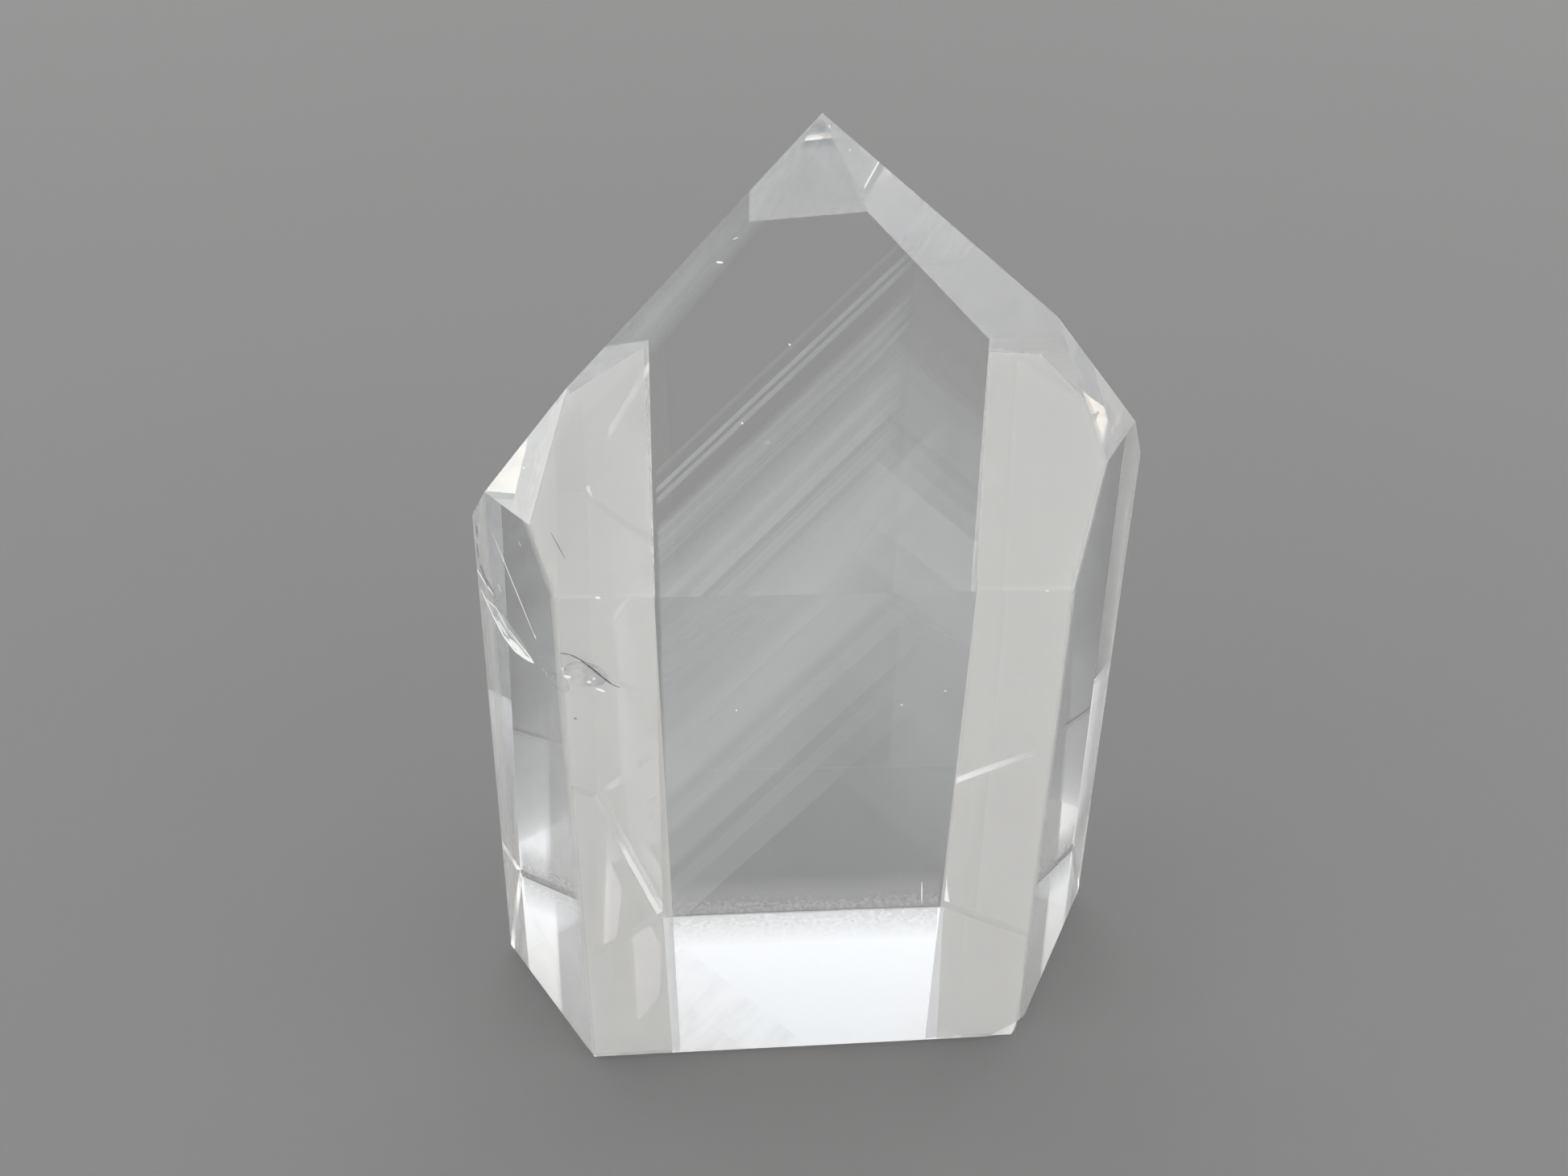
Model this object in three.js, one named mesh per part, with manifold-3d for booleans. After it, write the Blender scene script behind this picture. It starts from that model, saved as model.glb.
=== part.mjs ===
// A phantom quartz point: one clear six-sided prism with a faceted tip, ground flat at the foot.
// Millimetres, +Z up. The foot stands on z = 0, with the origin under the middle of the crystal.
//
// The crystal is shaped the way a cutter shapes it: a block is ground flat, facet by facet. A facet
// is a plane, given by the way it faces (degrees from +X towards +Y, so the front faces -90), by how
// far its normal rises above level, and by its reach, which is its distance from the origin.

import * as THREE from 'three';
import { mergeVertices } from 'three/addons/utils/BufferGeometryUtils.js';
import Module from 'manifold-3d';

const wasm = await Module();
wasm.setup();

// Driving dimensions

const ROUGH_BLOCK = { width: 80, depth: 80, height: 90 };

// The six sides. They rise by a few degrees because the crystal narrows towards its tip.
const SIDES = {
  front: { facing: -90, rise: 2.2, reach: 12.2 },
  front_left: { facing: -148.4, rise: 1.3, reach: 19.2 },
  back_left: { facing: 141.6, rise: 1.7, reach: 15.65 },
  back: { facing: 89.3, rise: 1.5, reach: 12.1 },
  back_right: { facing: 43.6, rise: 0.4, reach: 16.15 },
  front_right: { facing: -29.3, rise: 1.1, reach: 18.25 },
};

// The six facets of the tip. Three of them, about a third of a turn apart, meet at the point.
const TIP = {
  front: { facing: -89.4, rise: 32.5, reach: 29.35 },
  front_left: { facing: -152.7, rise: 31.9, reach: 37.45 },
  back_left: { facing: 150.3, rise: 35, reach: 35.4 },
  back: { facing: 92.5, rise: 36.2, reach: 38.35 },
  back_right: { facing: 35.7, rise: 35.8, reach: 37.1 },
  front_right: { facing: -26.1, rise: 31.6, reach: 37.65 },
};

// The foot's rim is eased by a narrow bevel, and its front right corner is worn back further.
const RIM_BEVEL = { rise: -45, depth: 0.3 };
const WORN_CORNER = { facing: -60, steps: [{ rise: -8, depth: 0.25 }, { rise: -32, depth: 0.7 }] };

const QUARTZ = { color: 0xe4e6e8, roughness: 0.04, metalness: 0, flatShading: true };

// Solids

function toManifold(geometry) {
  const bare = geometry.clone();
  bare.deleteAttribute('normal');
  bare.deleteAttribute('uv');
  const merged = mergeVertices(bare);
  return new wasm.Manifold(new wasm.Mesh({
    numProp: 3,
    vertProperties: Float32Array.from(merged.attributes.position.array),
    triVerts: Uint32Array.from(merged.index.array),
  }));
}

function toGeometry(solid) {
  const mesh = solid.getMesh();
  const geometry = new THREE.BufferGeometry();
  geometry.setAttribute('position', new THREE.BufferAttribute(mesh.vertProperties, mesh.numProp));
  geometry.setIndex(new THREE.BufferAttribute(mesh.triVerts, 1));
  return geometry;
}

function roughBlock({ width, depth, height }) {
  return toManifold(new THREE.BoxGeometry(width, depth, height).translate(0, 0, height / 2));
}

// Facets

function outward(facing, rise) {
  const azimuth = THREE.MathUtils.degToRad(facing);
  const elevation = THREE.MathUtils.degToRad(rise);
  return new THREE.Vector3(
    Math.cos(elevation) * Math.cos(azimuth),
    Math.cos(elevation) * Math.sin(azimuth),
    Math.sin(elevation),
  );
}

// Keeps what lies behind the facet's plane.
function grind(solid, { facing, rise, reach }) {
  const inward = outward(facing, rise).negate();
  return solid.trimByPlane(inward.toArray(), -reach);
}

// The distance to which the solid now reaches in a direction, so that a cut can be set by its depth.
function extent(solid, direction) {
  const { vertProperties, numProp } = solid.getMesh();
  let furthest = -Infinity;
  for (let i = 0; i < vertProperties.length; i += numProp) {
    furthest = Math.max(furthest, direction.dot(new THREE.Vector3().fromArray(vertProperties, i)));
  }
  return furthest;
}

function grindByDepth(solid, { facing, rise, depth }) {
  return grind(solid, { facing, rise, reach: extent(solid, outward(facing, rise)) - depth });
}

// The crystal

function crystalSolid() {
  let solid = roughBlock(ROUGH_BLOCK);
  for (const facet of [...Object.values(SIDES), ...Object.values(TIP)]) {
    solid = grind(solid, facet);
  }
  for (const { facing } of Object.values(SIDES)) {
    solid = grindByDepth(solid, { facing, ...RIM_BEVEL });
  }
  for (const step of WORN_CORNER.steps) {
    solid = grindByDepth(solid, { facing: WORN_CORNER.facing, ...step });
  }
  return solid;
}

const crystal = new THREE.Mesh(toGeometry(crystalSolid()), new THREE.MeshStandardMaterial(QUARTZ));
crystal.name = 'crystal';

const phantomQuartz = new THREE.Group();
phantomQuartz.add(crystal);

export default phantomQuartz;
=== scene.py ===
"""Looks of a phantom quartz point: a clear polished crystal with milky growth layers inside it.

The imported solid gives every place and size. The crystal's facets are read from it, and whatever lies
inside the crystal, such as its growth layers, is set out between those facets. Metres, +Z up, with the
front of the crystal towards -Y.
"""

import logging
import math
from dataclasses import dataclass, field
from enum import Enum
from typing import Any, Iterable

import bmesh
import bpy
from mathutils import Matrix, Vector

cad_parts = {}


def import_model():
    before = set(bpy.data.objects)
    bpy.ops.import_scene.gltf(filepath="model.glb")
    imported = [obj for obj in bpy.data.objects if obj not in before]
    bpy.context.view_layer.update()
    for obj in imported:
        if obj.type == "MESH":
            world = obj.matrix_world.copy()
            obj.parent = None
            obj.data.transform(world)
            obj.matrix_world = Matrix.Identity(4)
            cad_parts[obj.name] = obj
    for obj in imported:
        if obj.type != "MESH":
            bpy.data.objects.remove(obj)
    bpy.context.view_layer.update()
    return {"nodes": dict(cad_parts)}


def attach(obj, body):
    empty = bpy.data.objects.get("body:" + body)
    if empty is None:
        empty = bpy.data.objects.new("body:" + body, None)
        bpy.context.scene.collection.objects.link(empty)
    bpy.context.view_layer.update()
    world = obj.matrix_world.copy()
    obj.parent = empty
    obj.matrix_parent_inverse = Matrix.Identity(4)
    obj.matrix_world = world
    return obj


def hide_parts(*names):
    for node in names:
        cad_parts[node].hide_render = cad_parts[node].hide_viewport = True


MM = 0.001
NODE = "crystal"
BODY = "root"

# How often light may bounce in the clear quartz, in the milk, and pass through a see-through surface.
CLEAR_BOUNCES = 64
MILK_BOUNCES = 16
LAYERS_CROSSED = 256

# A Mix node repeats its sockets for every kind of data, so its colours go by number.
MIX_COLOUR_A = 6
MIX_COLOUR_B = 7
MIX_COLOUR_OUT = 2

# The middle level of a noise, and the steps of a lens around and from pole to pole.
NOISE_MIDDLE = 0.5
LENS_AROUND = 16
LENS_UP = 8

log = logging.getLogger("phantom_quartz")

Value = float | tuple[float, ...] | bpy.types.NodeSocket
Stop = tuple[float, tuple[float, ...]]


class Shade:
    """A node tree's builder, which adds a node from its type, its settings and its sockets' values."""

    def __init__(self, tree: bpy.types.NodeTree) -> None:
        """Clears the tree and keeps it.

        Args:
            tree: the material's or world's node tree.
        """
        self.tree = tree
        tree.nodes.clear()

    def node(
        self, kind: str, settings: dict[str, Any] | None = None, **sockets: "Value | Signal"
    ) -> bpy.types.Node:
        """Adds one node.

        Args:
            kind: the node's type name, such as ShaderNodeTexNoise.
            settings: its properties, or a ramp's stops, which are set before its sockets.
            **sockets: values or links of its input sockets, with underscores for spaces.

        Returns:
            The new node.
        """
        node = self.tree.nodes.new(kind)
        for name, value in (settings or {}).items():
            if name == "stops":
                self.set_stops(node.color_ramp, value)
            else:
                setattr(node, name, value)
        for name, value in sockets.items():
            self.feed(node.inputs[name.replace("_", " ")], value)
        return node

    @staticmethod
    def set_stops(ramp: bpy.types.ColorRamp, stops: list[Stop]) -> None:
        """Sets a ramp's stops.

        Args:
            ramp: a new ramp, which has two stops.
            stops: each stop's position and colour, from low to high.
        """
        for element, (position, colour) in zip(ramp.elements, (stops[0], stops[-1])):
            element.position = position
            element.color = colour
        for position, colour in stops[1:-1]:
            ramp.elements.new(position).color = colour

    def feed(self, socket: bpy.types.NodeSocket, value: "Value | Signal") -> None:
        """Sets a socket to a value, or links it to another node's output.

        Args:
            socket: the input socket.
            value: a number, a colour or vector, an output socket or a signal.
        """
        if isinstance(value, Signal):
            value = value.socket
        if isinstance(value, bpy.types.NodeSocket):
            self.tree.links.new(value, socket)
        else:
            socket.default_value = value


class Signal:
    """A number that runs through the nodes: Python's operators add the Math nodes."""

    def __init__(self, shade: Shade, socket: bpy.types.NodeSocket) -> None:
        """Wraps an output socket."""
        self.shade = shade
        self.socket = socket

    def math(self, operation: str, *values: "Value | Signal", swap: bool = False) -> "Signal":
        """Adds a Math node.

        Args:
            operation: the node's operation, such as MULTIPLY.
            *values: its other operands.
            swap: True puts this signal second.

        Returns:
            The result.
        """
        node = self.shade.node("ShaderNodeMath", {"operation": operation})
        operands = [self, *values]
        if swap:
            operands[0], operands[1] = operands[1], operands[0]
        for socket, value in zip(node.inputs, operands):
            self.shade.feed(socket, value)
        return Signal(self.shade, node.outputs[0])

    def __add__(self, other: "Value | Signal") -> "Signal":
        """Returns the sum."""
        return self.math("ADD", other)

    __radd__ = __add__

    def __sub__(self, other: "Value | Signal") -> "Signal":
        """Returns the difference."""
        return self.math("SUBTRACT", other)

    def __rsub__(self, other: "Value | Signal") -> "Signal":
        """Returns the difference, with this signal taken off."""
        return self.math("SUBTRACT", other, swap=True)

    def __mul__(self, other: "Value | Signal") -> "Signal":
        """Returns the product."""
        return self.math("MULTIPLY", other)

    __rmul__ = __mul__


def blend(shade: Shade, factor: Signal, low: Value, high: Value) -> bpy.types.NodeSocket:
    """Mixes two colours with a Mix node.

    Args:
        shade: the node tree's builder.
        factor: 0 for the low colour and 1 for the high one.
        low, high: the colours.

    Returns:
        The mixed colour.
    """
    mix = shade.node("ShaderNodeMix", {"data_type": "RGBA"}, Factor=factor)
    shade.feed(mix.inputs[MIX_COLOUR_A], low)
    shade.feed(mix.inputs[MIX_COLOUR_B], high)
    return mix.outputs[MIX_COLOUR_OUT]


def grain(
    shade: Shade, scale: float, turn_deg: float = 0.0, stretch: float = 1.0, detail: float = 4.0
) -> Signal:
    """Adds a noise that stays with the object.

    Args:
        shade: the node tree's builder.
        scale: the grain's count per metre.
        turn_deg: how far the grain is turned about Z.
        stretch: how much longer it is along its own Y.
        detail: how many times finer noise is added to it.

    Returns:
        The noise, from 0 to 1.
    """
    where = shade.node("ShaderNodeTexCoord").outputs["Object"]
    turned = shade.node(
        "ShaderNodeMapping", {"vector_type": "TEXTURE"}, Vector=where,
        Rotation=(0.0, 0.0, math.radians(turn_deg)), Scale=(1.0, stretch, 1.0),
    )
    noise = shade.node("ShaderNodeTexNoise", Vector=turned.outputs["Vector"], Scale=scale, Detail=detail)
    return Signal(shade, noise.outputs["Fac"])


@dataclass(frozen=True)
class ClearQuartz:
    """The finish of the polished colourless quartz.

    Fields:
        refraction: quartz's index.
        dull_patches, dull_above, patch_scale: how rough the polish is in its duller patches, the noise
            level above which they begin, and their count per metre.
        tint, absorption: the colour that the depth leaves, and its density.
    """

    refraction: float = 1.546
    dull_patches: float = 0.05
    dull_above: float = 0.55
    patch_scale: float = 160.0
    tint: tuple[float, float, float, float] = (0.93, 0.94, 0.95, 1.0)
    absorption: float = 1.0

    def material(self) -> bpy.types.Material:
        """Makes the see-through material, with plain transmission, refraction and absorption.

        Returns:
            The material.
        """
        made = bpy.data.materials.new("clear_quartz")
        made.use_nodes = True
        shade = Shade(made.node_tree)
        patches = grain(shade, self.patch_scale) - self.dull_above
        polish = patches.math("MAXIMUM", 0.0) * self.dull_patches
        glass = shade.node(
            "ShaderNodeBsdfPrincipled",
            Base_Color=(1.0, 1.0, 1.0, 1.0),
            Roughness=polish,
            IOR=self.refraction,
            Transmission_Weight=1.0,
        )
        depth = shade.node("ShaderNodeVolumeAbsorption", Color=self.tint, Density=self.absorption)
        shade.node(
            "ShaderNodeOutputMaterial", Surface=glass.outputs["BSDF"], Volume=depth.outputs["Volume"],
        )
        return made


@dataclass(frozen=True)
class Mineral:
    """A matt finish of two tones in soft clouds, see-through where it is thin.

    Fields:
        name: the material's name.
        light, dark: its tones.
        cloud_scale: the clouds' count per metre.
        cover: how much of the light it stops, from 0 to 1, at the clouds' middle level.
        bare: the clouds' level below which it is left clear.
        turn_deg, stretch: how the clouds are turned about Z and drawn out.
        fade_above: the height in mm at which it has faded out, or 0 for a finish that doesn't fade.
    """

    name: str
    light: tuple[float, float, float, float]
    dark: tuple[float, float, float, float]
    cloud_scale: float
    cover: float = 1.0
    bare: float = 0.0
    turn_deg: float = 0.0
    stretch: float = 1.0
    fade_above: float = 0.0

    def material(self) -> bpy.types.Material:
        """Makes the matt material.

        Returns:
            The material.
        """
        made = bpy.data.materials.new(self.name)
        made.use_nodes = True
        shade = Shade(made.node_tree)
        clouds = grain(shade, self.cloud_scale, self.turn_deg, self.stretch)
        tone = blend(shade, clouds, self.light, self.dark)
        matt = shade.node("ShaderNodeBsdfPrincipled", Base_Color=tone, Roughness=1.0)
        if self.cover < 1.0:
            cover = (clouds - self.bare).math("MAXIMUM", 0.0) * (self.cover / NOISE_MIDDLE)
            if self.fade_above > 0.0:
                where = shade.node("ShaderNodeTexCoord").outputs["Object"]
                height = Signal(shade, shade.node("ShaderNodeSeparateXYZ", Vector=where).outputs["Z"])
                left = (1.0 - height * (1.0 / (self.fade_above * MM))).math("MAXIMUM", 0.0)
                cover = cover * left
            shade.feed(matt.inputs["Alpha"], cover.math("MINIMUM", 1.0))
        shade.node("ShaderNodeOutputMaterial", Surface=matt.outputs["BSDF"])
        return made


GROUND = Mineral("ground_quartz", (0.95, 0.94, 0.91, 1.0), (0.84, 0.84, 0.83, 1.0), 130.0)
FROST = Mineral(
    "frosted_back", (0.98, 0.98, 0.98, 1.0), (0.9, 0.92, 0.94, 1.0), 3000.0,
    cover=0.35, fade_above=3.5,
)
# A white matt finish. The bright scuffs and nicks are real wear, while the glints and the crack's bright
# leaf are painted highlights and painted reflection.
BRIGHT_SCUFF_AND_GLINT = Mineral("bright_scuff_and_glint", (1.0, 1.0, 1.0, 1.0), (0.8, 0.83, 0.85, 1.0), 2500.0)
DULL_SCUFF = Mineral(
    "dull_scuff", (0.45, 0.46, 0.44, 1.0), (0.16, 0.17, 0.16, 1.0), 2500.0, cover=0.9, bare=0.15,
)
FAINT_FILM = Mineral(
    "faint_film", (0.9, 0.93, 0.95, 1.0), (0.6, 0.63, 0.65, 1.0), 900.0, cover=0.35, bare=0.25,
)


class Milkiness(Enum):
    """How milky a zone of the crystal is, as its scattering density per metre."""

    TRACE = 3.0
    FAINT = 5.0
    THIN = 8.0
    HAZY = 11.0
    MISTY = 14.0
    CLOUDY = 18.0
    MILKY = 22.0
    DENSE = 27.0
    THICK = 34.0
    SATIN = 220.0
    CHALKY = 1900.0


@dataclass(frozen=True)
class Milk:
    """The finish of a milky zone: no skin of its own, and light scattered all the way through it.

    Fields:
        milkiness: how dense the milk is.
        cool, warm: the tint of the thin milk and of the sheets, which are denser.
        lean: how far the light is scattered back, below 0, or on, above 0.
    """

    milkiness: Milkiness
    cool: tuple[float, float, float, float] = (0.83, 0.915, 1.0, 1.0)
    warm: tuple[float, float, float, float] = (1.0, 0.985, 0.92, 1.0)
    lean: float = -0.5

    def material(self) -> bpy.types.Material:
        """Makes the milky material.

        Returns:
            The material.
        """
        made = bpy.data.materials.new("milk_" + self.milkiness.name.lower())
        made.use_nodes = True
        shade = Shade(made.node_tree)
        bare = shade.node("ShaderNodeBsdfTransparent", Color=(1.0, 1.0, 1.0, 1.0))
        tint = self.warm if self.milkiness.value > Milkiness.THICK.value else self.cool
        milk = shade.node(
            "ShaderNodeVolumeScatter", Color=tint, Density=self.milkiness.value, Anisotropy=self.lean,
        )
        shade.node(
            "ShaderNodeOutputMaterial", Surface=bare.outputs["BSDF"], Volume=milk.outputs["Volume"],
        )
        return made


@dataclass(frozen=True)
class PaleFloor:
    """The finish of the plain floor under the crystal.

    Fields:
        colour, other: its two tones, which are nearly alike.
        cloud_scale: the tones' count per metre.
        roughness: how rough it is.
    """

    colour: tuple[float, float, float, float] = (0.216, 0.217, 0.219, 1.0)
    other: tuple[float, float, float, float] = (0.222, 0.223, 0.225, 1.0)
    cloud_scale: float = 20.0
    roughness: float = 0.9

    def material(self) -> bpy.types.Material:
        """Makes the floor's matt material.

        Returns:
            The material.
        """
        made = bpy.data.materials.new("pale_floor")
        made.use_nodes = True
        shade = Shade(made.node_tree)
        tone = blend(shade, grain(shade, self.cloud_scale), self.colour, self.other)
        matt = shade.node("ShaderNodeBsdfPrincipled", Base_Color=tone, Roughness=self.roughness)
        shade.node("ShaderNodeOutputMaterial", Surface=matt.outputs["BSDF"])
        return made


@dataclass(frozen=True)
class Plane:
    """A plane: its outward normal and its distance from the foot's centre along that normal."""

    normal: Vector
    reach: float

    @classmethod
    def facing(cls, facing_deg: float, rise_deg: float, reach_mm: float) -> "Plane":
        """Makes a plane from its direction.

        Args:
            facing_deg: which way it faces, round from +X.
            rise_deg: how far its normal rises over the level.
            reach_mm: its distance from the foot's centre along its normal.

        Returns:
            The plane.
        """
        turn, rise = math.radians(facing_deg), math.radians(rise_deg)
        flat = math.cos(rise)
        return cls(Vector((flat * math.cos(turn), flat * math.sin(turn), math.sin(rise))), reach_mm * MM)

    def inward(self, depth: float) -> "Plane":
        """Returns the plane that lies this deep under this one."""
        return Plane(self.normal, self.reach - depth)

    def flipped(self, gap: float = 0.0) -> "Plane":
        """Returns the plane's other side, moved off by a gap."""
        return Plane(-self.normal, -self.reach - gap)


def solid_behind(
    planes: Iterable[Plane], block: float = 0.2, touching: float = 1e-7
) -> bmesh.types.BMesh:
    """Cuts a closed block down to the space behind every plane.

    Args:
        planes: the planes, each with its outward normal.
        block: the block's width.
        touching: the distance within which a corner counts as on a plane.

    Returns:
        The closed solid that is left, which may be empty.
    """
    mesh = bmesh.new()
    bmesh.ops.create_cube(mesh, size=block)
    for plane in planes:
        cut = bmesh.ops.bisect_plane(
            mesh, geom=mesh.verts[:] + mesh.edges[:] + mesh.faces[:],
            plane_co=plane.normal * plane.reach, plane_no=plane.normal, dist=touching, clear_outer=True,
        )
        rim = [item for item in cut["geom_cut"] if isinstance(item, bmesh.types.BMEdge)]
        if rim and mesh.faces:
            bmesh.ops.edgeloop_fill(mesh, edges=rim)
    bmesh.ops.recalc_face_normals(mesh, faces=mesh.faces)
    return mesh


def joined(parts: list[bmesh.types.BMesh]) -> bmesh.types.BMesh:
    """Puts closed solids together in one bmesh.

    Args:
        parts: the solids, which are freed.

    Returns:
        The bmesh that holds them all.
    """
    whole = bmesh.new()
    for part in parts:
        data = bpy.data.meshes.new("part")
        part.to_mesh(data)
        part.free()
        whole.from_mesh(data)
        bpy.data.meshes.remove(data)
    return whole


def shown(name: str, mesh: bmesh.types.BMesh, material: bpy.types.Material) -> bpy.types.Object:
    """Makes a finished bmesh an object in the scene, at the origin.

    Args:
        name: the object's name.
        mesh: the shape, which is freed.
        material: its finish.

    Returns:
        The new object.
    """
    data = bpy.data.meshes.new(name)
    mesh.to_mesh(data)
    mesh.free()
    data.materials.append(material)
    made = bpy.data.objects.new(name, data)
    bpy.context.scene.collection.objects.link(made)
    return made


def quartz_piece(name: str, mesh: bmesh.types.BMesh, material: bpy.types.Material) -> bpy.types.Object:
    """Makes a bmesh a piece of the crystal.

    Args:
        name: the piece's name.
        mesh: the shape, which is freed.
        material: its finish.

    Returns:
        The new piece.
    """
    piece = shown(name, mesh, material)
    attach(piece, BODY)
    return piece


@dataclass
class Facets:
    """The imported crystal's flat faces.

    Fields:
        sides, tip, foot: the faces' planes.
        smallest: the area from which a face counts, so that eased edges are passed over.
        same_way: the cosine from which two triangles lie in one face.
        foot_below, tip_above: how much a foot's normal and a tip's normal rise.
    """

    sides: list[Plane] = field(default_factory=list)
    tip: list[Plane] = field(default_factory=list)
    foot: list[Plane] = field(default_factory=list)
    smallest: float = 20.0 * MM * MM
    same_way: float = 0.9999
    foot_below: float = -0.9
    tip_above: float = 0.4

    @classmethod
    def read(cls, node: bpy.types.Object) -> "Facets":
        """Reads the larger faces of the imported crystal.

        Args:
            node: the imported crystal.

        Returns:
            Its facets, told apart by how they rise.
        """
        facets = cls()
        found: list[tuple[Plane, list[float]]] = []
        for face in node.data.polygons:
            for plane, areas in found:
                if plane.normal.dot(face.normal) > facets.same_way:
                    areas.append(face.area)
                    break
            else:
                found.append((Plane(face.normal.copy(), face.normal.dot(face.center)), [face.area]))
        for plane, areas in found:
            if sum(areas) <= facets.smallest:
                continue
            if plane.normal.z < facets.foot_below:
                facets.foot.append(plane)
            elif plane.normal.z > facets.tip_above:
                facets.tip.append(plane)
            else:
                facets.sides.append(plane)
        return facets

    def inset(self, depth: float) -> list[Plane]:
        """Returns every facet's plane, this deep under the crystal's surface."""
        return [plane.inward(depth) for plane in self.sides + self.tip + self.foot]


@dataclass
class Crystal:
    """The clear solid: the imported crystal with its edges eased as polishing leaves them.

    Fields:
        edge_ease, edge_steps: the width of the eased edges, and the faces across one.
        foot_lift: how far the clear quartz stays off the level that it stands on.
        same_corner, same_face_deg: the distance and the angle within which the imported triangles'
            corners and faces are merged first.
    """

    edge_ease: float = 0.06 * MM
    edge_steps: int = 2
    foot_lift: float = 0.06 * MM
    same_corner: float = 0.001 * MM
    same_face_deg: float = 0.2

    def build(self, node: bpy.types.Object) -> bpy.types.Object:
        """Builds the clear piece.

        Args:
            node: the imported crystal.

        Returns:
            The piece that stands for it.
        """
        mesh = bmesh.new()
        mesh.from_mesh(node.data)
        bmesh.ops.remove_doubles(mesh, verts=mesh.verts, dist=self.same_corner)
        bmesh.ops.dissolve_limit(
            mesh, angle_limit=math.radians(self.same_face_deg), verts=mesh.verts, edges=mesh.edges,
        )
        bmesh.ops.bevel(
            mesh, geom=mesh.edges[:], affect="EDGES", offset=self.edge_ease, offset_type="OFFSET",
            segments=self.edge_steps, profile=0.5, clamp_overlap=True, material=-1,
        )
        for vert in mesh.verts:
            vert.co.z = max(vert.co.z, self.foot_lift)
        piece = quartz_piece("clear_quartz", mesh, ClearQuartz().material())
        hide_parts(NODE)
        return piece


@dataclass(frozen=True)
class Arm:
    """Growth zones that lie on each other along one growth face.

    Fields:
        facing_deg, rise_deg: the growth face's direction.
        zones: each zone's outer reach in mm and its milkiness, from outside in. A zone ends where the
            next begins, and one without milkiness is clear.
        bounds: planes that the arm stays behind, such as the ridge where it meets the next arm.
    """

    facing_deg: float
    rise_deg: float
    zones: tuple[tuple[float, Milkiness | None], ...]
    bounds: tuple[Plane, ...] = ()


# The ridge where the left and right growth faces meet, in its upper and lower parts, and the floor
# that the parts meet on. The walls end the layers at the left and right.
RIDGE = Plane.facing(-14.0, -3.0, 1.59)
LOWER_RIDGE = Plane.facing(-27.0, -3.0, 1.5)
MIDDLE_FLOOR = Plane.facing(147.4, 37.6, 20.72)
LEFT_WALL = Plane.facing(181.0, 0.8, 9.8)
RIGHT_WALL = Plane.facing(-7.5, -1.0, 9.3)
JOINT_GAP = 0.02 * MM

# What the pale sheets stay behind: each panel's planes, for those behind the front and its tip face,
# and the inner edge of the sheets behind the back's left and right sides.
FRONT_SKIN_BACK = Plane.facing(-90.0, 2.2, 11.23)
LEFT_SIDE_PANEL = (Plane.facing(1.0, 0.5, -9.36), Plane.facing(154.0, 0.0, 9.2))
RIGHT_SIDE_PANEL = (Plane.facing(172.6, 1.0, -9.19), Plane.facing(29.0, 0.0, 7.5))
LEFT_TIP_PANEL = (Plane.facing(1.0, -0.2, -9.83), FRONT_SKIN_BACK, Plane.facing(141.4, 49.3, 41.04))
RIGHT_TIP_PANEL = (
    Plane.facing(171.8, 0.2, -9.78), FRONT_SKIN_BACK,
    Plane.facing(80.8, 61.1, 41.78), Plane.facing(18.4, 40.2, 39.54),
)
LEFT_SHEET_EDGE = Plane.facing(0.0, 0.0, -17.0)
RIGHT_SHEET_EDGE = Plane.facing(180.0, 0.0, -13.0)

# What each growth face's layers stay behind.
LEFT_OF_RIDGE = (RIDGE, LEFT_WALL, RIGHT_WALL)
RIGHT_OF_RIDGE = (RIDGE.flipped(JOINT_GAP), LEFT_WALL, RIGHT_WALL)
LEFT_OF_LOWER_RIDGE = (LOWER_RIDGE, LEFT_WALL, RIGHT_WALL)
RIGHT_OF_LOWER_RIDGE = (LOWER_RIDGE.flipped(JOINT_GAP), LEFT_WALL, RIGHT_WALL)

# The right growth face's layers, and the pale sheets behind the front and its tip face. The deepest
# layers end at a reach that lies below the crystal. M is short for the milkiness in these tables.
M = Milkiness
BELOW_ALL = -10.0
RIGHT_ZONES = (
    (38.6, M.TRACE), (36.3, M.FAINT), (34.9, M.HAZY), (33.7, M.MISTY), (31.5, M.HAZY), (31.05, M.MISTY),
    (30.0, M.CLOUDY), (28.95, M.DENSE), (26.0, M.MILKY), (23.9, M.CLOUDY), (19.2, M.MISTY),
    (17.2, M.HAZY), (15.3, M.THIN), (13.3, M.FAINT), (BELOW_ALL, None),
)
FRONT_SHEET = ((11.95, M.CHALKY), (11.25, None))
TIP_SHEET = ((29.1, M.CHALKY), (28.4, None))


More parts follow.
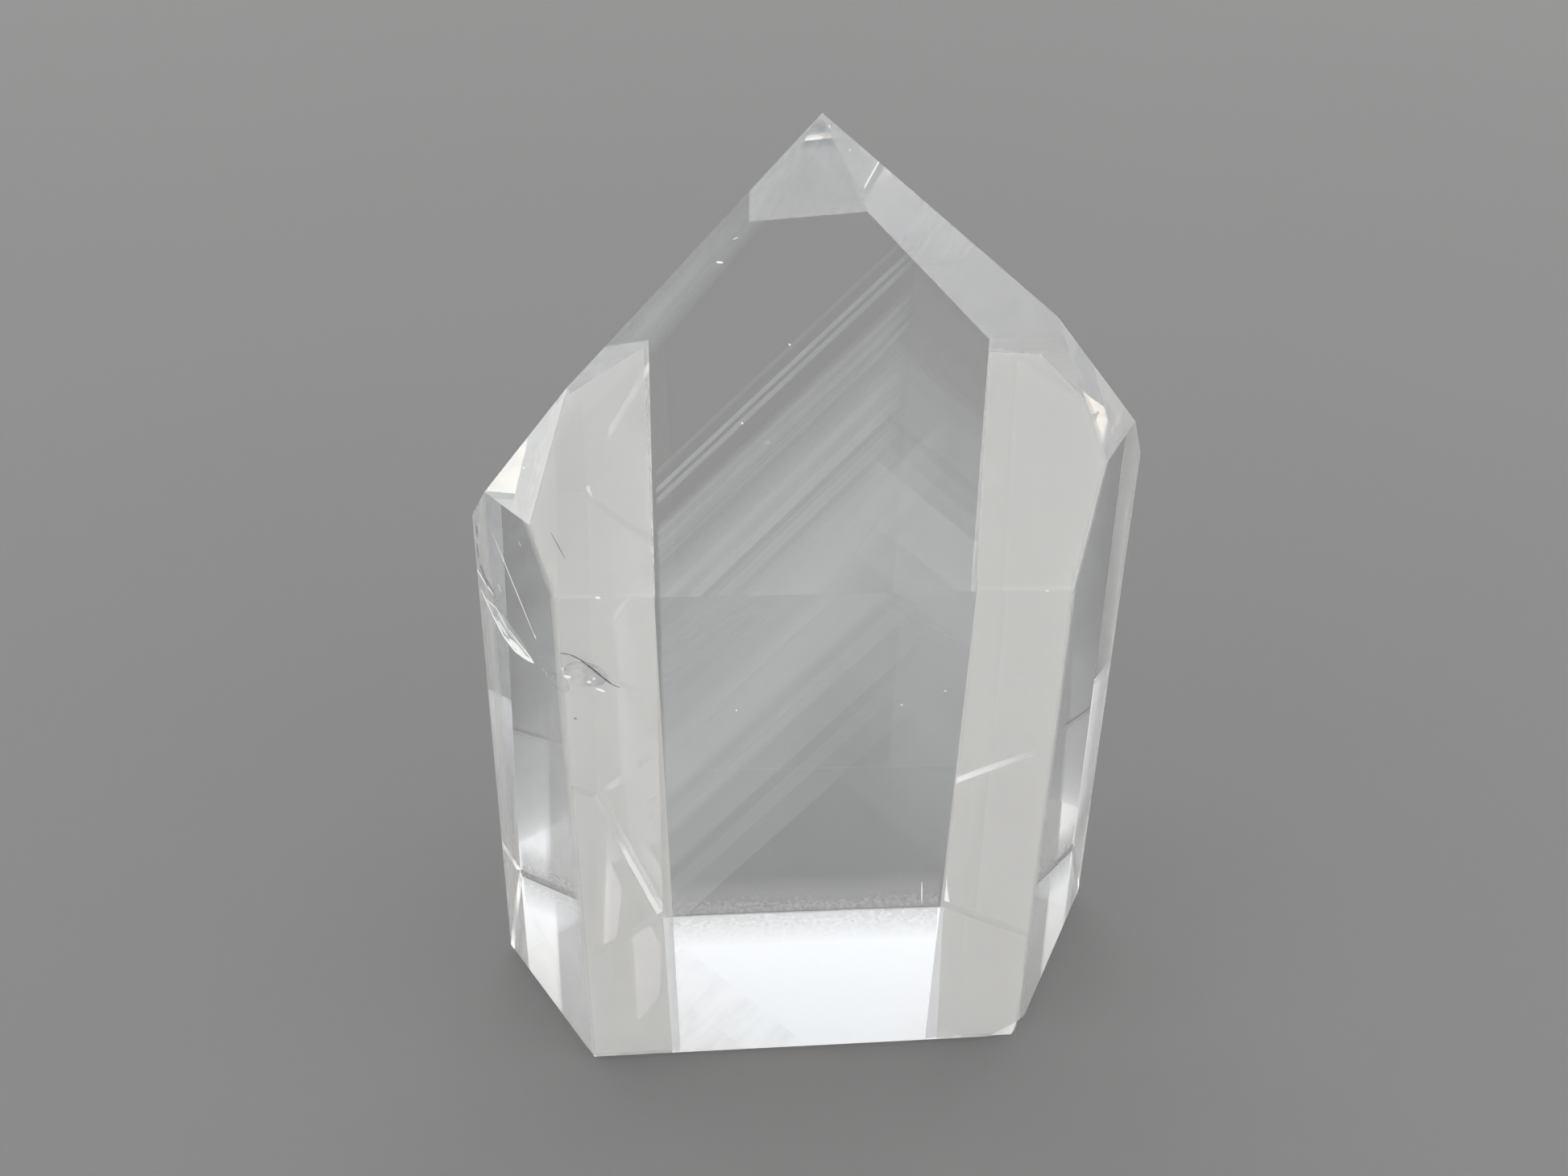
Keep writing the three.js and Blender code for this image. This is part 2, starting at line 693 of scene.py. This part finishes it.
@dataclass
class GrowthLayers:
    """The phantom: zones of milk parallel to the faces that the crystal had as it grew.

    Fields:
        skin: how deep under the crystal's surface the milk begins.
        gap: how far each zone reaches past the next one's top, so that no clear line shows.
        arms: the growth faces with their zones, and the pale sheets.
    """

    skin: float = 0.25 * MM
    gap: float = 0.01 * MM
    arms: tuple[Arm, ...] = (
        # The left growth face: the fine lines, the upper layers and the lower layers.
        Arm(149.4, 39.8, (
            (31.4, M.FAINT), (31.18, None),
            (30.65, M.MILKY), (30.41, None),
            (30.19, M.CLOUDY), (29.92, None),
            (28.99, M.FAINT), (28.71, M.CLOUDY), (28.44, M.THIN), (28.22, M.CLOUDY), (27.84, M.THIN),
            (27.62, M.CLOUDY), (27.35, None),
        ), LEFT_OF_RIDGE),
        Arm(147.4, 37.6, (
            (26.59, M.THIN), (25.93, M.HAZY), (25.6, M.MISTY), (25.28, M.CLOUDY), (24.89, M.MILKY),
            (24.73, M.DENSE), (24.4, M.MILKY), (23.7, M.DENSE), (23.21, M.MISTY), (22.83, M.CLOUDY),
            (22.5, M.MILKY), (22.02, M.CLOUDY), (21.53, M.MILKY), (21.15, M.DENSE), (20.72, None),
        ), LEFT_OF_RIDGE),
        Arm(153.5, 38.4, (
            (25.65, M.DENSE), (22.37, M.MILKY), (21.53, M.DENSE), (20.17, M.THICK), (17.6, M.DENSE),
            (17.28, M.MILKY), (16.56, M.DENSE), (15.54, M.CLOUDY), (13.61, M.HAZY), (12.81, M.MISTY),
            (11.91, M.HAZY), (10.22, M.FAINT), (BELOW_ALL, None),
        ), (MIDDLE_FLOOR.inward(JOINT_GAP), *LEFT_OF_LOWER_RIDGE)),
        # The right growth face, over and under the middle floor.
        Arm(29.4, 42.0, RIGHT_ZONES, (MIDDLE_FLOOR.flipped(JOINT_GAP), *RIGHT_OF_RIDGE)),
        Arm(29.4, 42.0, RIGHT_ZONES, (MIDDLE_FLOOR, *RIGHT_OF_LOWER_RIDGE)),
        # The pale sheets behind the front, its tip face, the back's left side, the left tip face and
        # the back's right side.
        Arm(-90.0, 2.2, FRONT_SHEET, LEFT_SIDE_PANEL),
        Arm(-90.0, 2.2, FRONT_SHEET, RIGHT_SIDE_PANEL),
        Arm(-89.4, 32.5, TIP_SHEET, LEFT_TIP_PANEL),
        Arm(-89.4, 32.5, TIP_SHEET, RIGHT_TIP_PANEL),
        Arm(141.6, 1.7, ((15.35, M.SATIN), (14.6, None)), (LEFT_SHEET_EDGE,)),
        Arm(150.3, 35.0, ((35.15, M.THICK), (34.6, None))),
        Arm(43.6, 0.4, ((15.85, M.SATIN), (15.1, None)), (RIGHT_SHEET_EDGE,)),
    )

    def build(self, facets: Facets) -> list[bpy.types.Object]:
        """Builds one piece for each milkiness, out of all the zones that have it.

        Args:
            facets: the crystal's facets, which the zones stay under.

        Returns:
            The pieces.
        """
        walls = facets.inset(self.skin)
        gathered: dict[Milkiness, list[bmesh.types.BMesh]] = {}
        for arm in self.arms:
            for (outer, milkiness), (inner, _) in zip(arm.zones, arm.zones[1:]):
                if milkiness is None:
                    continue
                top = Plane.facing(arm.facing_deg, arm.rise_deg, outer)
                bottom = Plane.facing(arm.facing_deg, arm.rise_deg, inner)
                zone = solid_behind([top, bottom.flipped(-self.gap), *arm.bounds, *walls])
                gathered.setdefault(milkiness, []).append(zone)
        return [
            quartz_piece("growth_" + milkiness.name.lower(), joined(zones), Milk(milkiness).material())
            for milkiness, zones in gathered.items()
        ]


@dataclass(frozen=True)
class Films:
    """The films along one growth face.

    Fields:
        facing_deg, rise_deg: the growth face's direction.
        reaches: the films' reaches in mm.
        bounds: planes that they stay behind.
    """

    facing_deg: float
    rise_deg: float
    reaches: tuple[float, ...]
    bounds: tuple[Plane, ...]


@dataclass
class Veils:
    """The thin streaky films that lie between the growth layers.

    Fields:
        thickness: a film's thickness.
        skin: how deep under the crystal's surface the films end.
        streak_scale, stretch: the streaks' count per metre and how much longer they are than wide.
        light, dark, cover, bare: the films' finish.
        faces: the films of each growth face.
    """

    thickness: float = 0.02 * MM
    skin: float = 0.3 * MM
    streak_scale: float = 1100.0
    stretch: float = 7.0
    light: tuple[float, float, float, float] = (0.93, 0.96, 1.0, 1.0)
    dark: tuple[float, float, float, float] = (0.75, 0.8, 0.86, 1.0)
    cover: float = 0.1
    bare: float = 0.4
    faces: tuple[Films, ...] = (
        Films(149.4, 39.8, (31.25, 30.5, 30.0, 28.3), LEFT_OF_RIDGE),
        Films(147.4, 37.6, (25.3, 24.0, 22.3, 21.2), LEFT_OF_RIDGE),
        Films(153.5, 38.4, (19.2, 16.0, 12.4), LEFT_OF_LOWER_RIDGE),
        Films(29.4, 42.0, (34.5, 31.3, 28.95, 24.0), RIGHT_OF_RIDGE),
    )

    def build(self, facets: Facets) -> list[bpy.types.Object]:
        """Builds one piece for each growth face's films.

        Args:
            facets: the crystal's facets, which the films stay under.

        Returns:
            The pieces.
        """
        walls = facets.inset(self.skin)
        pieces: list[bpy.types.Object] = []
        for films in self.faces:
            finish = Mineral(
                "growth_film", self.light, self.dark, self.streak_scale,
                cover=self.cover, bare=self.bare, turn_deg=films.facing_deg, stretch=self.stretch,
            )
            slabs: list[bmesh.types.BMesh] = []
            for reach in films.reaches:
                top = Plane.facing(films.facing_deg, films.rise_deg, reach)
                slabs.append(solid_behind([top, top.flipped(-self.thickness), *films.bounds, *walls]))
            name = f"growth_film_{films.facing_deg:.0f}"
            pieces.append(quartz_piece(name, joined(slabs), finish.material()))
        return pieces


class Tone(Enum):
    """How a mark looks, with its finish."""

    BRIGHT = BRIGHT_SCUFF_AND_GLINT
    DULL = DULL_SCUFF
    FAINT = FAINT_FILM


@dataclass(frozen=True)
class Mark:
    """A small mark.

    Fields:
        start, end: its two ends in mm, which are moved onto the facet.
        width: its width in mm.
        tone: how it looks.
        depth: how deep in mm it lies under the facet.
    """

    start: tuple[float, float, float]
    end: tuple[float, float, float]
    width: float
    tone: Tone = Tone.BRIGHT
    depth: float = 0.0


def sliver(
    mark: Mark, planes: list[Plane], thickness: float = 0.03, shortest: float = 0.02
) -> bmesh.types.BMesh:
    """Shapes one mark as a closed flat lens on the nearest facet, or under it by the mark's depth.

    Args:
        mark: the mark.
        planes: the crystal's facets.
        thickness: the lens's thickness in mm.
        shortest: the least length of a lens in mm.

    Returns:
        The lens.
    """
    start, end = Vector(mark.start) * MM, Vector(mark.end) * MM
    nearest = max(planes, key=lambda plane: plane.normal.dot(start + end) / 2 - plane.reach)
    middle = (start + end) / 2
    for plane in (nearest, *planes):
        above = plane.normal.dot(middle) - plane.reach + mark.depth * MM
        if above > 0.0:
            middle -= plane.normal * above
    along = end - start
    along -= nearest.normal * along.dot(nearest.normal)
    length = max(along.length, shortest * MM)
    along.normalize()
    across = nearest.normal.cross(along)
    turn = Matrix((along, across, nearest.normal)).transposed().to_4x4()
    size = Matrix.Diagonal((length, mark.width * MM, thickness * MM, 1.0))
    mesh = bmesh.new()
    place = Matrix.Translation(middle) @ turn @ size
    bmesh.ops.create_uvsphere(
        mesh, u_segments=LENS_AROUND, v_segments=LENS_UP, radius=0.5, matrix=place,
    )
    return mesh


@dataclass
class Marks:
    """The small wear marks on the polished faces, and one painted glint near the tip.

    Fields:
        name: what the pieces' names begin with.
        marks: the marks.
    """

    name: str = "wear"
    marks: tuple[Mark, ...] = (
        # A hairline at the left, and an upright scratch low on the front.
        Mark((-15.05, -8.75, 41.14), (-14.27, -9.59, 39.81), 0.05, Tone.DULL),
        Mark((6.66, -11.61, 15.46), (6.77, -11.69, 13.39), 0.08),
        # A painted glint near the tip's upper left, then specks on the faces.
        Mark((-5.5, -0.9, 53.3), (-5.1, -0.93, 53.25), 0.12),
        Mark((-4.55, -0.24, 54.3), (-4.25, -0.2, 54.4), 0.06),
        Mark((-3.2, -6.2, 44.95), (-2.8, -6.25, 44.9), 0.25, Tone.FAINT),
        Mark((-4.4, -5.6, 45.9), (-4.28, -5.66, 45.8), 0.1),
        Mark((-1.65, -3.3, 49.45), (-1.53, -3.36, 49.37), 0.1),
        Mark((-5.1, -11.06, 29.85), (-4.96, -11.06, 29.75), 0.12),
        Mark((4.6, -11.07, 29.8), (4.74, -11.07, 29.7), 0.1),
        Mark((7.12, -11.03, 30.7), (7.26, -11.03, 30.6), 0.1),
        Mark((-14.45, -11.07, 29.7), (-14.3, -11.07, 29.6), 0.15, Tone.DULL),
        Mark((-16.6, -5.4, 43.35), (-16.45, -5.5, 43.2), 0.12),
        # Nicks along the edges.
        Mark((-14.95, -10.6, 38.3), (-14.8, -10.7, 37.95), 0.2),
        Mark((-12.75, -10.73, 38.0), (-12.45, -10.73, 37.97), 0.14),
        Mark((12.4, -10.77, 37.5), (12.65, -10.77, 37.46), 0.12),
        Mark((0.9, 3.1, 59.45), (1.0, 3.0, 59.3), 0.1),
        Mark((2.0, 2.35, 58.35), (2.07, 2.3, 58.25), 0.08),
        Mark((-17.05, -7.25, 39.6), (-16.85, -7.5, 39.35), 0.06),
        Mark((-18.85, -4.55, 34.75), (-18.65, -4.8, 34.35), 0.07),
        # Dull wear at the left side's outer edge.
        Mark((-19.86, -2.7, 39.4), (-19.95, -2.6, 38.6), 0.16, Tone.DULL),
        Mark((-19.99, -2.6, 37.7), (-20.05, -2.5, 36.7), 0.3, Tone.DULL),
        Mark((-20.1, -2.4, 36.2), (-20.15, -2.35, 35.2), 0.22, Tone.DULL),
        Mark((-19.75, -3.0, 38.2), (-19.85, -2.85, 37.3), 0.35, Tone.FAINT),
        # A fine tube that comes to the surface of the left side, and the speck at its end.
        Mark((-18.92, -4.22, 38.45), (-16.4, -8.55, 33.3), 0.1),
        Mark((-16.58, -8.25, 33.75), (-16.48, -8.42, 33.55), 0.12),
    )

    def build(self, facets: Facets) -> list[bpy.types.Object]:
        """Builds one piece for each tone, out of all the marks that have it.

        Args:
            facets: the crystal's facets.

        Returns:
            The pieces.
        """
        planes = facets.sides + facets.tip
        pieces: list[bpy.types.Object] = []
        for tone in Tone:
            lenses = [sliver(mark, planes) for mark in self.marks if mark.tone is tone]
            if lenses:
                name = f"{self.name}_{tone.name.lower()}"
                pieces.append(quartz_piece(name, joined(lenses), tone.value.material()))
        return pieces


@dataclass
class HealedCrack(Marks):
    """The crack at the front's left edge: a leaf painted bright for the reflection off the crack, an arc
    that runs across, and its painted glints.
    """

    name: str = "crack"
    marks: tuple[Mark, ...] = (
        # The leaf, the crack's edge at the left face, with its bright strokes painted white for the
        # reflection off the crack: its faint body, its lower and upper outlines, its middle and its
        # veins.
        Mark((-19.7, -3.2, 32.25), (-17.0, -7.7, 31.35), 1.5, Tone.FAINT),
        Mark((-20.25, -2.35, 32.9), (-19.5, -3.58, 31.75), 0.18),
        Mark((-19.6, -3.45, 31.8), (-18.71, -4.91, 30.85), 0.26),
        Mark((-18.9, -4.6, 31.0), (-17.9, -6.2, 30.75), 0.34),
        Mark((-18.15, -5.85, 30.75), (-16.77, -8.02, 31.46), 0.34),
        Mark((-19.9, -2.9, 32.5), (-19.1, -4.2, 32.65), 0.1),
        Mark((-19.28, -3.9, 32.7), (-18.48, -5.23, 31.97), 0.13),
        Mark((-18.5, -5.2, 32.0), (-17.54, -6.77, 31.7), 0.12),
        Mark((-17.7, -6.5, 31.75), (-16.85, -7.9, 31.5), 0.2),
        Mark((-19.35, -3.8, 31.85), (-18.35, -5.45, 31.2), 0.5),
        Mark((-18.5, -5.25, 31.2), (-17.25, -7.25, 31.25), 0.55),
        Mark((-19.2, -4.05, 32.3), (-18.2, -5.7, 31.6), 0.07),
        Mark((-18.6, -5.1, 31.75), (-17.4, -7.0, 31.58), 0.07),
        # The jagged strokes and the dull patches above the leaf.
        Mark((-20.36, -2.09, 34.15), (-19.73, -3.12, 33.67), 0.14),
        Mark((-19.8, -3.0, 33.72), (-18.98, -4.35, 33.42), 0.12),
        Mark((-20.1, -2.5, 35.0), (-19.6, -3.3, 33.6), 0.4, Tone.DULL),
        Mark((-19.8, -3.0, 34.3), (-19.0, -4.3, 33.3), 0.3, Tone.DULL),
        Mark((-19.7, -3.1, 34.1), (-19.1, -4.15, 33.35), 0.1),
        # Where the crack turns round the edge: a faint trail and two painted glints.
        Mark((-16.7, -8.1, 31.9), (-15.3, -10.2, 33.6), 0.16, Tone.FAINT),
        Mark((-16.25, -8.85, 31.75), (-16.1, -9.05, 31.55), 0.16),
        Mark((-16.0, -9.2, 31.7), (-15.9, -9.35, 31.45), 0.2),
        # The arc, from its upper end to its lower one.
        Mark((-14.92, -10.89, 34.32), (-14.39, -10.9, 34.2), 0.07, Tone.DULL, 0.25),
        Mark((-14.45, -10.9, 34.22), (-13.8, -10.91, 33.78), 0.09, Tone.DULL, 0.3),
        Mark((-13.9, -10.91, 33.85), (-13.15, -10.94, 33.05), 0.12, Tone.DULL, 0.35),
        Mark((-13.25, -10.94, 33.15), (-12.6, -10.96, 32.4), 0.13, Tone.DULL, 0.4),
        Mark((-12.7, -10.96, 32.5), (-12.1, -10.98, 31.88), 0.11, Tone.DULL, 0.4),
        Mark((-12.2, -10.98, 31.95), (-11.7, -10.99, 31.65), 0.07, Tone.DULL, 0.4),
        # Painted glints beside the arc, white slivers for the crack's highlights, and the faint films
        # behind it.
        Mark((-14.9, -10.93, 33.35), (-14.82, -10.93, 33.15), 0.16),
        Mark((-14.85, -10.95, 32.72), (-14.4, -10.95, 32.62), 0.22),
        Mark((-13.55, -10.97, 32.28), (-13.3, -10.97, 32.2), 0.2),
        Mark((-13.2, -10.96, 32.5), (-13.08, -10.96, 32.42), 0.18),
        Mark((-13.1, -10.99, 31.78), (-12.55, -11.0, 31.5), 0.18),
        Mark((-15.9, -9.5, 31.4), (-14.4, -11.0, 32.2), 1.2, Tone.FAINT, 0.3),
        Mark((-14.8, -10.9, 33.2), (-12.4, -11.0, 32.2), 1.7, Tone.FAINT, 0.45),
    )


@dataclass
class Foot:
    """The ground skin of the crystal's foot, and the frosting low on its back.

    Fields:
        thickness: the skin's thickness.
        edge, back_edge: how far the skin and the frosting stay inside the sides, and the skin inside
            the back.
        frost_from, frost_to: the frosting's lowest and highest levels.
        frost_depth: how deep it lies under the back, and how thick it is.
        back_facing: how much a side's normal points back for the side to be the back.
    """

    thickness: float = 0.02 * MM
    edge: float = 0.4 * MM
    back_edge: float = 1.0 * MM
    frost_from: float = 0.07 * MM
    frost_to: float = 3.4 * MM
    frost_depth: float = 0.06 * MM
    back_facing: float = 0.9

    def build(self, facets: Facets) -> list[bpy.types.Object]:
        """Builds the chalky skin under the clear quartz, and the frosting inside its back.

        Args:
            facets: the crystal's facets.

        Returns:
            The pieces.
        """
        rise = Vector((0.0, 0.0, 1.0))
        top = Plane(rise, self.thickness)
        walls = [plane.inward(self.edge) for plane in facets.sides]
        back = max(facets.sides, key=lambda plane: plane.normal.y)
        skin = solid_behind([top, back.inward(self.back_edge), *walls, *facets.foot])
        others = [plane for plane in walls if plane.normal.y < self.back_facing]
        span = [Plane(rise, self.frost_to), Plane(-rise, -self.frost_from)]
        frost = solid_behind([
            back.inward(self.frost_depth), back.inward(2.0 * self.frost_depth).flipped(), *others, *span,
        ])
        return [
            quartz_piece("ground_foot", skin, GROUND.material()),
            quartz_piece("frosted_back", frost, FROST.material()),
        ]


@dataclass
class Studio:
    """The camera, the floor and the soft light.

    Fields:
        eye, heading_deg, tilt_deg, roll_deg: the camera's place, how far it turns right of +Y, looks
            down and rolls.
        lens_mm, sensor_mm, nearest: its lens, its sensor's width and its nearest distance.
        floor_gap, floor_width: how far the floor lies below the foot, and its width.
        strength: the light's strength.
        levels: the light's level by the height that it comes from, as that direction's Z. It falls off
            overhead, as under a ceiling.
        low_tint, high_tint, tint_change: the light's tints below and above a height.
        straight_up: the light's colour from straight above.
        bright_side, bright_side_from, bright_side_deg: how much brighter the upper light is on one
            side, from which height, and the side's heading.
        shade_towards, shade_cosine, shade_edge, shade_depth: the direction where the viewer stands and
            shades the light, the shade's size and soft edge as cosines, and how dark it is.
    """

    eye: Vector = field(default_factory=lambda: Vector((-7.69, -80.78, 88.62)) * MM)
    heading_deg: float = 4.39
    tilt_deg: float = 35.65
    roll_deg: float = 0.664
    lens_mm: float = 35.825
    sensor_mm: float = 36.0
    nearest: float = 0.005
    floor_gap: float = 0.05 * MM
    floor_width: float = 6.0
    strength: float = 2.55
    levels: tuple[tuple[float, float], ...] = (
        (0.0, 1.0), (0.09, 1.0), (0.34, 0.82), (0.55, 0.645), (0.71, 0.49), (0.85, 0.31), (0.95, 0.15),
    )
    low_tint: tuple[float, float, float] = (1.0, 0.985, 0.94)
    high_tint: tuple[float, float, float] = (0.97, 1.0, 1.035)
    tint_change: float = 0.6
    straight_up: tuple[float, float, float, float] = (0.03, 0.031, 0.032, 1.0)
    bright_side: float = 0.2
    bright_side_from: float = 0.545
    bright_side_deg: float = -10.0
    shade_towards: Vector = field(default_factory=lambda: Vector((-0.06, -0.68, 0.73)).normalized())
    shade_cosine: float = 0.85
    shade_edge: float = 0.06
    shade_depth: float = 0.65

    def place_camera(self) -> None:
        """Places the scene's camera, which looks down at the crystal from its front."""
        data = bpy.data.cameras.new("camera")
        data.lens = self.lens_mm
        data.sensor_width = self.sensor_mm
        data.clip_start = self.nearest
        camera = bpy.data.objects.new("camera", data)
        turn = Matrix.Rotation(math.radians(-self.heading_deg), 4, "Z")
        tip = Matrix.Rotation(math.radians(90.0 - self.tilt_deg), 4, "X")
        roll = Matrix.Rotation(math.radians(self.roll_deg), 4, "Z")
        camera.matrix_world = Matrix.Translation(self.eye) @ turn @ tip @ roll
        bpy.context.scene.collection.objects.link(camera)
        bpy.context.scene.camera = camera

    def lay_floor(self) -> None:
        """Lays the floor, a hair below the crystal's foot."""
        mesh = bmesh.new()
        bmesh.ops.create_grid(mesh, x_segments=1, y_segments=1, size=self.floor_width / 2)
        bmesh.ops.translate(mesh, vec=Vector((0.0, 0.0, -self.floor_gap)), verts=mesh.verts)
        floor = shown("floor", mesh, PaleFloor().material())

    def stops(self) -> list[Stop]:
        """Works out the light's colour by height.

        Returns:
            The stops of its ramp, each with a position and a colour.
        """
        made: list[Stop] = []
        for position, level in self.levels:
            tint = self.low_tint if position < self.tint_change else self.high_tint
            made.append((position, (*(level * part for part in tint), 1.0)))
        made.append((1.0, self.straight_up))
        return made

    def light(self) -> None:
        """Lights the room from all round, softly."""
        world = bpy.data.worlds.new("soft_room")
        world.use_nodes = True
        world.cycles.sampling_method = "NONE"
        bpy.context.scene.world = world
        shade = Shade(world.node_tree)
        where = shade.node("ShaderNodeTexCoord")
        parts = shade.node("ShaderNodeSeparateXYZ", Vector=where.outputs["Generated"])
        height = shade.node("ShaderNodeValToRGB", {"stops": self.stops()}, Fac=parts.outputs["Z"])
        east, north, up = (Signal(shade, parts.outputs[axis]) for axis in "XYZ")
        turn = math.radians(self.bright_side_deg)
        towards = math.sin(turn) * east + math.cos(turn) * north
        overhead = (up - self.bright_side_from).math("MAXIMUM", 0.0)
        level = self.strength * (1.0 + self.bright_side * overhead * towards)
        middle = self.shade_towards
        near = middle.x * east + middle.y * north + middle.z * up - self.shade_cosine
        shaded = (near * (1.0 / self.shade_edge)).math("MAXIMUM", 0.0).math("MINIMUM", 1.0)
        level = level * (1.0 - self.shade_depth * shaded)
        back = shade.node("ShaderNodeBackground", Color=height.outputs["Color"], Strength=level)
        shade.node("ShaderNodeOutputWorld", Surface=back.outputs["Background"])


def set_render() -> None:
    """Gives light enough bounces to cross the crystal, and plain colours."""
    scene = bpy.context.scene
    scene.cycles.max_bounces = CLEAR_BOUNCES
    scene.cycles.transmission_bounces = CLEAR_BOUNCES
    scene.cycles.glossy_bounces = CLEAR_BOUNCES
    scene.cycles.diffuse_bounces = MILK_BOUNCES
    scene.cycles.volume_bounces = MILK_BOUNCES
    scene.cycles.transparent_max_bounces = LAYERS_CROSSED
    scene.view_settings.view_transform = "Standard"


def main() -> None:
    """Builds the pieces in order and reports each."""
    logging.basicConfig(level=logging.INFO, format="%(name)s: %(message)s")
    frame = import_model()
    set_render()
    studio = Studio()
    studio.place_camera()
    studio.lay_floor()
    studio.light()
    node = frame["nodes"][NODE]
    facets = Facets.read(node)
    pieces = [Crystal().build(node)]
    pieces += GrowthLayers().build(facets)
    pieces += Veils().build(facets)
    pieces += Foot().build(facets)
    pieces += HealedCrack().build(facets)
    pieces += Marks().build(facets)
    for piece in pieces:
        log.info("%s: %d faces", piece.name, len(piece.data.polygons))


if __name__ == "__main__":
    main()
